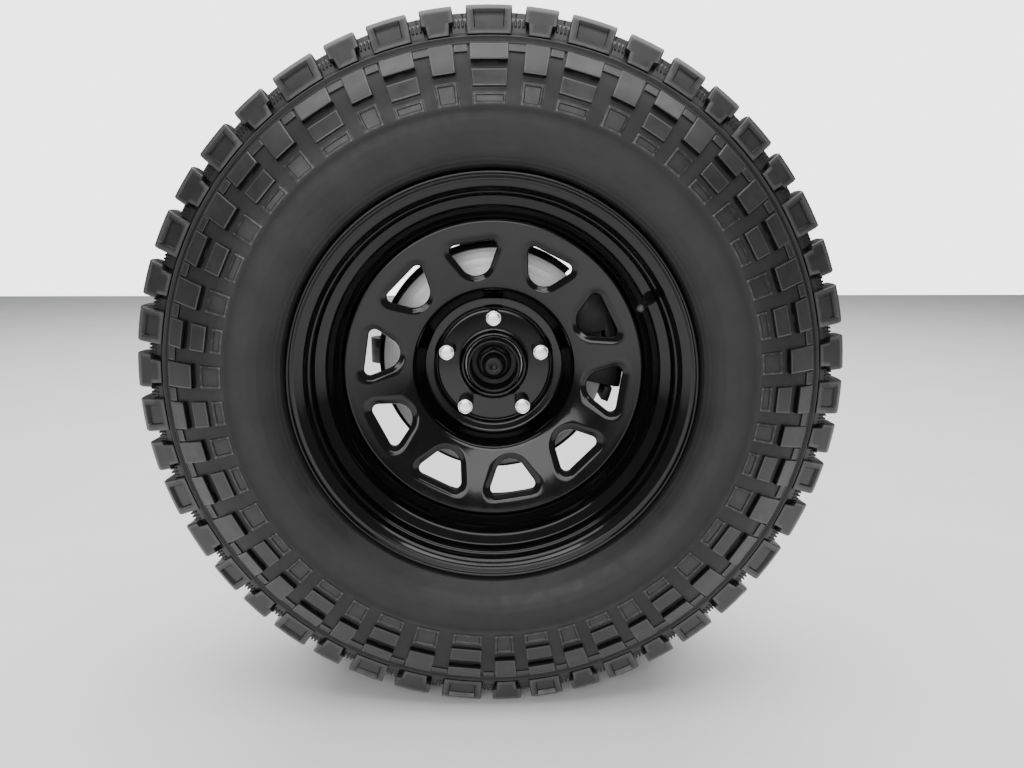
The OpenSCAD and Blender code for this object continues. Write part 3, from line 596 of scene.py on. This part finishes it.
def crownBlock(at, arc, side):
    # a lifted grid on the crown; row w swings by -side (lean (w - mid) + step sign(w - mid) / 2), and the columns
    # between the edges by +zigzag and -zigzag in turn
    low, high = crownBlocks["width"]
    mid = (low + high) / 2
    w = np.array([low - 0.8, low, low + 1.0, low + 9, low + 17, mid - 0.6,
                  mid + 0.6, high - 17, high - 9, high - 1.0, high, high + 0.8])
    face = np.stack([crownRadius(w), w], -1)
    foot = np.stack([crownRadius(w) - tyre["treadDepth"] - 0.5, w], -1)
    columns = np.array([(-1, -0.8), (-1, 0), (-1, 1.1)]
                       + [(share, k) for share in crownBlocks["sipes"] for k in (-0.9, -0.5, 0.5, 0.9)]
                       + [(1, -1.1), (1, 0), (1, 0.8)])
    ends, across = mirrored([0, 0.94] + [1] * 4), mirrored([0, 0.94] + [1] * 5)
    height = np.minimum(ends[:, None], across[None, :])
    recess, zigzag = np.zeros(height.shape), np.zeros(height.shape)
    recess[1:-1, [4, 5, 8, 9]] = crownBlocks["sipe"]
    zigzag[1:-1, 3:11] = (crownBlocks["zigzag"] * (-1.0) ** np.arange(len(w) - 2))[:, None]
    lean = crownBlocks["lean"] * (w - mid) + crownBlocks["step"] * np.where(w > mid, 0.5, -0.5)
    # painted shade toward the block's foot, 0.8 sqrt(1 - h)
    paintedLight = 0.8 * np.clip(1 - height, 0, 1) ** 0.5
    return liftedGrid(at, arc, np.full(len(w), crownBlocks["share"]), columns, foot, face, height, recess, side,
                      paintedLight, zigzag - side * lean[:, None])


crownTurn = math.radians(tyre["crownTurn"])
blocksPiece("crown_blocks", [crownBlock(cellAt + turn - side * crownTurn, cellArc, side) for side, turn in sides])
print("tread done")

rim = {
    "steps": 288,
    # distances below the flange's radius and in from its outer plane, in millimetres
    "tyreSide": [(0.0, 0.0), (0.0, 7.2), (5.8, 12.5), (19.0, 12.7), (19.0, 42.7), (45.8, 70.7), (45.8, 124.7),
                 (19.0, 154.7), (19.0, 241.3), (6.0, 241.5), (0.0, 247.0), (0.0, 254.0)],
    "inboardAir": [(4.0, 253.8), (7.0, 249.0), (20.0, 246.5), (24.0, 240.0), (24.0, 157.0), (50.8, 127.0)],
    "outboardAir": [(50.8, 79.0), (41.0, 64.0), (36.2, 47.6), (24.6, 39.0), (23.8, 37.6), (23.4, 22.4), (19.4, 19.4),
                    (18.6, 12.0), (15.2, 7.9), (10.0, 4.8), (8.6, 3.3), (4.6, 3.0), (3.4, 2.6), (2.6, 0.1),
                    (1.2, -0.3)],
    "bends": [(0, 1.0), (3, 1.2), (8, 2.2), (60, 4), (200, 6), (250, 3), (254, 1.6)],   # corner radius by distance in
}


def rimOutline():
    # closed section: tyre side outboard to inboard, then the air side back, each corner rounded by the bends' table
    table = np.array(rim["tyreSide"] + rim["inboardAir"] + rim["outboardAir"])
    corners = np.stack([flangeRadius - table[:, 0], flangeOut + table[:, 1]], -1)
    return rounded(corners, np.interp(table[:, 1], *zip(*rim["bends"])), 6)


makePiece("rim_barrel", turned(rimOutline(), rim["steps"]), paint, "wheel", ["rim"], sharp=50)
print("rim done")

disc = {
    "thickness": 6.6, "windows": 10,
    "turn": -9.0,                                  # clock of the first window, degrees
    "cornerRadius": 7.2, "cornerAt": 153.2, "cornerApart": 44.0,
    "tipRadius": 20.2, "tipAt": 140.0,
    "innerRing": 108.5, "outerRing": 181.0,        # the windows lie between these radii
    "innerDepth": -44.3, "rise": 18.8, "crown": 1.6,
    "dip": 3.6, "dipWidth": 9.0,                   # the sheet turns in round each window
    # distance from the window's edge, and extra dip there
    "lip": [(0, 1.5), (0.5, 0.5), (1.3, 0.12), (2.4, 0), (4.0, 0), (5.6, 0), (7.2, 0)],
    "fill": [0.25, 0.55, 1.0],                     # rings between a window's lip and its sector's border
    "perSector": (24, 48, 20),                     # points on a sector's inner arc, outer arc and sides
    # radius and depth: from the bore over the bolting pad to the inner ring, and from the outer ring over the skirt
    "pad": [(37.3, -2.0), (37.5, -9.4), (39.8, -10.8), (42.6, -9.9), (45.0, -7.3), (48.0, -7.0), (72.6, -7.0),
            (74.4, -4.8), (76.0, -5.6), (77.6, -12.4), (88.8, -13.0), (91.2, -18.0), (99.0, -36.5), (103.0, -42.0),
            (108.5, -44.3)],
    "skirt": [(181.0, -63.1), (183.3, -63.7), (185.8, -63.0), (186.3, -60.6), (186.2, -54.0), (186.2, -26.5)],
}
windowMiddle = np.array([0, (disc["cornerAt"] + disc["tipAt"]) / 2])


def sheetDepth(radius):
    # the disc's front between its two rings: t = (r - r0) / (r1 - r0), depth = d0 - rise t - crown sin(pi t)
    t = (radius - disc["innerRing"]) / (disc["outerRing"] - disc["innerRing"])
    return disc["innerDepth"] - disc["rise"] * t - disc["crown"] * np.sin(np.pi * np.clip(t, 0, 1))


def windowEdge(angle):
    # the tightest outline round three circles, seen from the window's middle: for each normal n the farthest
    # point c + r n of the three, joined by straight sides, then read off at the polar angle asked for
    corner = disc["cornerApart"] / 2
    centres = np.array([[corner, disc["cornerAt"]], [-corner, disc["cornerAt"]], [0, disc["tipAt"]]])
    radii = np.array([disc["cornerRadius"], disc["cornerRadius"], disc["tipRadius"]])
    normalAngle = np.linspace(-np.pi, np.pi, 1441)
    n = np.stack([np.sin(normalAngle), np.cos(normalAngle)], -1)
    farthest = np.argmax(n @ centres.T + radii, axis=1)
    edge = centres[farthest] + radii[farthest][:, None] * n - windowMiddle
    both = np.concatenate([edge, n], 1)
    steps = np.linspace(0, 1, 8, endpoint=False)[:, None, None]       # points along the straight sides
    both = (both[None, :-1] * (1 - steps) + both[None, 1:] * steps).transpose(1, 0, 2).reshape(-1, 4)
    polar = np.unwrap(np.arctan2(both[:, 0], both[:, 1]))
    order = np.argsort(polar)
    at = np.stack([np.interp(angle, polar[order], both[order, k], period=2 * np.pi) for k in range(4)], -1)
    return at[:, :2] + windowMiddle, at[:, 2:] / np.linalg.norm(at[:, 2:], axis=1)[:, None]


def windowSector():
    # rings of points round one window: the edge moved out by d for the turned-in lip, then straight lines to the
    # sector's border; depth = sheet(radius) + dip (1 - s)^2 (1 + 2 s) + the lip's extra, with s = d / dip's width
    inner, outer, steps = disc["perSector"]
    half, r0, r1 = np.pi / disc["windows"], disc["innerRing"], disc["outerRing"]
    arcOut, arcIn = np.linspace(0, half, outer // 2 + 1), np.linspace(half, -half, inner + 1)
    run = np.linspace(r1, r0, steps + 1)
    radius = np.concatenate([np.full(len(arcOut), r1), run[1:], np.full(inner, r0), run[-2::-1],
                             np.full(len(arcOut) - 2, r1)])
    clock = np.concatenate([arcOut, np.full(steps, half), arcIn[1:], np.full(steps, -half), -arcOut[-2:0:-1]])
    border = np.stack([radius * np.sin(clock), radius * np.cos(clock)], -1)
    edge, out = windowEdge(np.arctan2(*(border - windowMiddle).T))
    d, extra = np.array(disc["lip"] + [(disc["dipWidth"], 0)]).T
    lip = edge[None] + out[None] * d[:, None, None]
    fill = np.array(disc["fill"])[:, None, None]
    flat = np.concatenate([lip, lip[-1][None] * (1 - fill) + border[None] * fill])
    s = d / disc["dipWidth"]
    dip = np.concatenate([disc["dip"] * (1 - s) ** 2 * (1 + 2 * s) + extra, np.zeros(len(fill))])
    radius, clock = np.linalg.norm(flat, axis=-1), np.arctan2(flat[..., 0], flat[..., 1])
    return radius, sheetDepth(radius) + dip[:, None], clock


def discShape():
    # the sector turned to each window's clock, and the pad's and skirt's outlines turned about the axis with the
    # same points at the two rings
    radius, depth, clock = windowSector()
    turns = math.radians(disc["turn"]) + fullTurn(disc["windows"])
    points = onWheel(radius[None], depth[None], clock[None] + turns[:, None, None])
    rows, columns = radius.shape
    starts = np.arange(disc["windows"])[:, None, None] * rows * columns
    parts = [(points.reshape(-1, 3), (gridFaces(rows, columns, False, True)[None] + starts).reshape(-1, 4).tolist())]
    for outline, count in ((disc["pad"], disc["perSector"][0]), (disc["skirt"], disc["perSector"][1])):
        curve, steps = rounded(outline, 2.6, 5, closed=False), count * disc["windows"]
        clock = turns[0] - np.pi / disc["windows"] + fullTurn(steps)
        ring = onWheel(curve[:, :1], curve[:, 1:], clock[None])
        parts.append((ring.reshape(-1, 3), gridFaces(len(curve), steps, False, True).tolist()))
    return joined(parts)


def faceOutboard(mesh):
    # an open sheet: its normals are turned to look outboard before it gets its thickness
    normals = np.zeros(len(mesh.polygons) * 3)
    mesh.polygons.foreach_get("normal", normals)
    if normals.reshape(-1, 3)[:, 1].mean() > 0:
        mesh.flip_normals()


discPiece = makePiece("pressed_disc", discShape(), paint, "wheel", ["wheel_disc"], sharp=50)
faceOutboard(discPiece.data)
sheet = discPiece.modifiers.new("sheet", "SOLIDIFY")
sheet.thickness, sheet.offset, sheet.use_even_offset = disc["thickness"] * mm, -1, False
print("disc done")

nuts = {
    "count": 5, "circle": 63.5, "seat": -7.0,
    "flats": (9.5, 10.26),                         # half the width across flats, and the cut corners' radius
    # radius, distance from the disc, share of the six-sided shape
    "end": [(0.0, 25.0, 0), (3.0, 24.93, 0), (5.8, 24.72, 0), (7.6, 24.4, 0), (8.1, 24.0, 0), (8.2, 22.4, 0),
            (8.8, 22.2, 0), (9.0, 23.0, 0), (9.3, 23.2, 0.2), (9.5, 22.6, 0.8), (9.5, 21.8, 1), (9.3, 21.4, 0.9),
            (0.0, 21.4, 0)],
    "shank": [(0.0, 21.5, 0), (9.2, 21.5, 0.9), (9.4, 21.2, 1), (9.4, 2.6, 1), (9.4, 1.8, 0.9), (9.7, 1.2, 0),
              (9.7, 0.0, 0), (8.0, -2.0, 0), (0.0, -2.0, 0)],
}
outboard = (0, -1, 0)
nutCentres = [onWheel(nuts["circle"], nuts["seat"], clock) for clock in fullTurn(nuts["count"])]
# the nuts' ends are chrome, but their hex bodies take the dark oiled steel as a painted dark reflection, where chrome
# sides would mirror the dark round them
for name, part, finish, stoodFor in (
        ("nut_ends", "end", chrome, ["lug_nuts"]), ("nut_shanks", "shank", darkSteel, [])):
    ring = joined([turnedAbout(nuts[part], centre, outboard, 96, nuts["flats"]) for centre in nutCentres])
    makePiece(name, ring, finish, "wheel", stoodFor)

valve = {
    "clock": math.radians(63), "lean": math.radians(28),
    "footRadius": 207.0, "footDepth": -97.0,       # it stands square on the rim's slope
    # radius and distance up the stem
    "stem": [(0, -10.0), (5.2, -10.0), (7.6, -6.6), (5.4, -5.4), (5.4, 0.3), (7.9, 0.4), (7.7, 2.2), (6.6, 3.4),
             (6.2, 8.0), (5.4, 18.0), (5.2, 24.0), (5.0, 26.6), (4.4, 27.6), (4.0, 28.0), (3.8, 36.0), (0, 36.0)],
    "tip": [(0, 41.6), (2.6, 41.6), (3.2, 41.3), (3.4, 40.7), (3.4, 39.0), (0, 39.0)],
    "cap": [(0, 40.6), (3.2, 40.9), (4.4, 40.3), (4.9, 39.2), (5.0, 37.4), (4.8, 36.6), (5.0, 35.8), (4.8, 35.0),
            (5.0, 34.2), (4.8, 33.4), (5.0, 32.6), (4.8, 31.8), (5.0, 31.0), (5.0, 28.6), (4.3, 28.3), (0, 28.3)],
}
radial = np.array([math.sin(valve["clock"]), 0, math.cos(valve["clock"])])
upStem = math.cos(valve["lean"]) * np.array(outboard) - math.sin(valve["lean"]) * radial
valveFoot = onWheel(valve["footRadius"], valve["footDepth"], valve["clock"])
for name, part, steps, finish, slot, stoodFor, sharp in (
        ("valve_body", "stem", 40, valveRubber, "valve_rubber", ["valve_stem"], 45),
        ("valve_cap_tip", "tip", 32, forged, "cap", [], 40),
        ("valve_cap_ribbed", "cap", 40, capPlastic, "cap", ["valve_cap"], 45)):
    makePiece(name, turnedAbout(valve[part], valveFoot, upStem, steps), finish, "wheel", stoodFor, sharp=sharp)

hub = {
    "corner": 0.9, "steps": 192,
    "outline": [(17.1, 14), (30, 14), (30, -19.6), (31.4, -21.8), (33.8, -21.8), (35.4, -19.8), (35.4, 7.2), (74, 7.2),
                (74, 20.2), (36, 20.2), (30, 24.2), (30, 94), (17.1, 94)],
}
makePiece("hub_turned", turned(rounded(hub["outline"], hub["corner"], 4), hub["steps"]), darkSteel, "wheel",
          ["wheel_hub"])

axleNose = {
    "thread": (-15.5, 13.0, 0.5), "threadRadius": 15.15, "crest": 0.35,
    "end": [(0, -16.0), (3.2, -16.2), (5.0, -17.4), (5.1, -22.0), (6.0, -22.4), (10.6, -22.4), (11.4, -21.8),
            (15.0, -17.2), (15.3, -16.4)],
    "back": [(15.2, 13.5), (0, 13.5)],
}
thread = np.arange(*axleNose["thread"])           # two points on the crest, then two in the root
threadRadius = axleNose["threadRadius"] + axleNose["crest"] * (np.arange(len(thread)) % 4 < 2)
noseOutline = np.concatenate([axleNose["end"], np.stack([threadRadius, thread], -1), axleNose["back"]])
makePiece("axle_nose", turned(noseOutline, 96, False), darkSteel, "wheel")

axleNut = {
    "flats": (18.0, 20.2),
    "outline": [(15.6, 2.0, 0), (15.8, 3.2, 0), (17.2, 3.2, 0), (18.0, 2.6, 0.5), (18.0, 1.6, 1), (18.0, -9.0, 1),
                (22.2, -9.6, 0), (23.0, -10.4, 0), (23.0, -13.6, 0), (15.6, -13.6, 0)],
}
axleNutShape = turnedAbout(axleNut["outline"], onWheel(0.0, 0.0, 0.0), outboard, 96, axleNut["flats"])
makePiece("axle_nut_turned", axleNutShape, darkSteel, "wheel", ["axle_nut"])
print("hub done")

rotor = {
    "radius": 151.0, "front": 40.0, "back": 68.0, "cheek": 9.0, "corner": 1.0, "steps": 240,
    "hat": [(35.6, 0.1), (84, 0.1), (86, 2), (86, 38), (87.5, 40)], "hatInside": [(79, 7), (35.6, 7)],
    "outerBore": 79.0, "innerBore": 88.0,          # inner radius of each cheek
    "vanes": 36, "vaneHalf": 2.5, "vaneFrom": 90.0, "vaneTo": 149.5, "vaneRows": 6, "vaneSink": 0.4,
}
cheekOutside, cheekInside = rotor["front"] + rotor["cheek"], rotor["back"] - rotor["cheek"]


def cheekOutlines():
    # the hat with the outboard cheek, and the inboard cheek, as closed sections
    edge, outerBore, innerBore = rotor["radius"], rotor["outerBore"], rotor["innerBore"]
    outer = [(edge, rotor["front"]), (edge, cheekOutside), (outerBore, cheekOutside)]
    inner = [(edge, cheekInside), (edge, rotor["back"]), (innerBore, rotor["back"]), (innerBore, cheekInside)]
    return [rounded(outline, rotor["corner"], 4) for outline in (rotor["hat"] + outer + rotor["hatInside"], inner)]


def vanes():
    # a vane is a closed four-sided bar along the radius: clock = its own + o / r, for the four corners (o, depth)
    low, high, half = cheekOutside - rotor["vaneSink"], cheekInside + rotor["vaneSink"], rotor["vaneHalf"]
    section = np.array([(-half, low), (half, low), (half, high), (-half, high)])
    r = np.linspace(rotor["vaneFrom"], rotor["vaneTo"], rotor["vaneRows"])[None, :, None]
    clock = fullTurn(rotor["vanes"])[:, None, None] + section[None, None, :, 0] / r
    points = onWheel(r, section[None, None, :, 1], clock)
    each = rotor["vaneRows"] * len(section)
    starts = np.arange(rotor["vanes"]) * each
    faces = (gridFaces(rotor["vaneRows"], len(section), False, True)[None] + starts[:, None, None]).reshape(-1, 4)
    ends = [[s, s + 1, s + 2, s + 3] for s in starts] + [[s - 1, s - 2, s - 3, s - 4] for s in starts + each]
    return points.reshape(-1, 3), faces.tolist() + ends


rotorParts = [turned(outline, rotor["steps"]) for outline in cheekOutlines()] + [vanes()]
makePiece("brake_disc_turned", joined(rotorParts), brakeIron, "wheel", ["brake_disc"])
print("brake disc done")

finished = [  # node, edge radius in millimetres, finish, body, slot
    ("axle_yoke", 3.0, casting, "axle_end", "casting"), ("tube_socket", 1.5, casting, "axle_end", "casting"),
    ("upper_ball_joint", 0.8, forged, "axle_end", "bare_steel"),
    ("lower_ball_joint", 0.8, forged, "axle_end", "bare_steel"),
    ("steering_knuckle", 3.0, casting, "knuckle", "casting"), ("hub_bearing", 0.8, zinc, "knuckle", "bare_steel"),
    ("dust_shield", 0.5, shieldCoat, "knuckle", "shield"),
    ("caliper_bracket", 2.0, brakeCasting, "knuckle", "casting"),
    ("brake_caliper", 3.0, brakeCasting, "knuckle", "casting"), ("outer_pad", 0.8, lining, "knuckle", "lining"),
    ("inner_pad", 0.8, lining, "knuckle", "lining"), ("guide_pins", 0.6, zinc, "knuckle", "bare_steel"),
    ("wheel_studs", 0.5, zinc, "wheel", "bare_steel"), ("stub_axle", 1.5, forged, "wheel", "bare_steel"),
    ("universal_joint_cross", 0.8, forged, "wheel", "bare_steel"),
]
for node, radius, finish, body, slot in finished:
    softened(node, radius, finish, body)
print("castings done")

studio = {
    "reach": 6.1, "air": "#f4f5f7",
    "wall": 3.8, "fill": 0.3,                      # wall is what the camera sees, fill is what lights the part
    # place, target, size, power
    "lights": {"front": ((-0.35, -2.6, 0.55), (0, -0.3, 0), (1.4, 1.0), 21.0),
               "brow": ((0.0, -3.8, 2.1), (0, -0.3, 0.1), (3.2, 0.7), 42.0),
               "top": ((0.0, 0.5, 3.2), (0, 0.5, 0), (6.0, 6.0), 400.0)},
    "lens": 27.2, "sensor": 36.0, "away": 0.873, "aside": 0.006, "height": 0.171,
    "tilt": 78.9, "turn": -1.02,
    # pale painted floor: nearly white and half matt
    "floor": {"surface": {}, "tones": ("#f0f0f1", "#f4f4f5"), "roughness": (0.5, 0.6), "sizes": (300, 200, 4.0),
              "depth": 0.02},
}
floorMesh = bpy.data.meshes.new("studio_floor")
reach, low = studio["reach"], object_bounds()[0][2]
corners = [(-reach, -reach, low), (reach, -reach, low), (reach, reach, low), (-reach, reach, low)]
floorMesh.from_pydata(corners, [], [(0, 1, 2, 3)])
floorMesh.materials.append(newFinish("pale_studio_floor", studio["floor"])["material"])
addObject("studio_floor", floorMesh)

world = bpy.context.scene.world or bpy.data.worlds.new("studio")
bpy.context.scene.world = world
world.use_nodes = True
airTree = world.node_tree
fill = airTree.nodes["Background"]
fill.inputs["Color"].default_value, fill.inputs["Strength"].default_value = linear(studio["air"]), studio["fill"]
wall = addNode(airTree, "ShaderNodeBackground", {"Color": linear(studio["air"]), "Strength": studio["wall"]})
seen = addNode(airTree, "ShaderNodeLightPath").outputs["Is Camera Ray"]
either = addNode(airTree, "ShaderNodeMixShader", {0: seen, 1: fill.outputs[0], 2: wall.outputs[0]})
airTree.links.new(either.outputs[0], airTree.nodes["World Output"].inputs["Surface"])

for name, (place, target, size, power) in studio["lights"].items():
    lamp = bpy.data.lights.new(name, "AREA")
    lamp.shape, lamp.size, lamp.size_y, lamp.energy = "RECTANGLE", size[0], size[1], power
    holder, (x, y, z) = addObject(name, lamp), np.array(target) - np.array(place)
    pitch, yaw = math.atan2(z, math.hypot(x, y)), math.atan2(y, x)
    holder.location, holder.rotation_euler = place, (math.pi / 2 + pitch, 0, yaw - math.pi / 2)

lens = bpy.data.cameras.new("studio_camera")
lens.lens, lens.sensor_width, lens.clip_end = studio["lens"], studio["sensor"], 100.0
camera = addObject("studio_camera", lens)
camera.location = (studio["aside"], (flangeOut + faceY) * mm - studio["away"], studio["height"])
camera.rotation_euler = (math.radians(studio["tilt"]), 0, math.radians(studio["turn"]))
bpy.context.scene.camera = camera

print("scene ready")
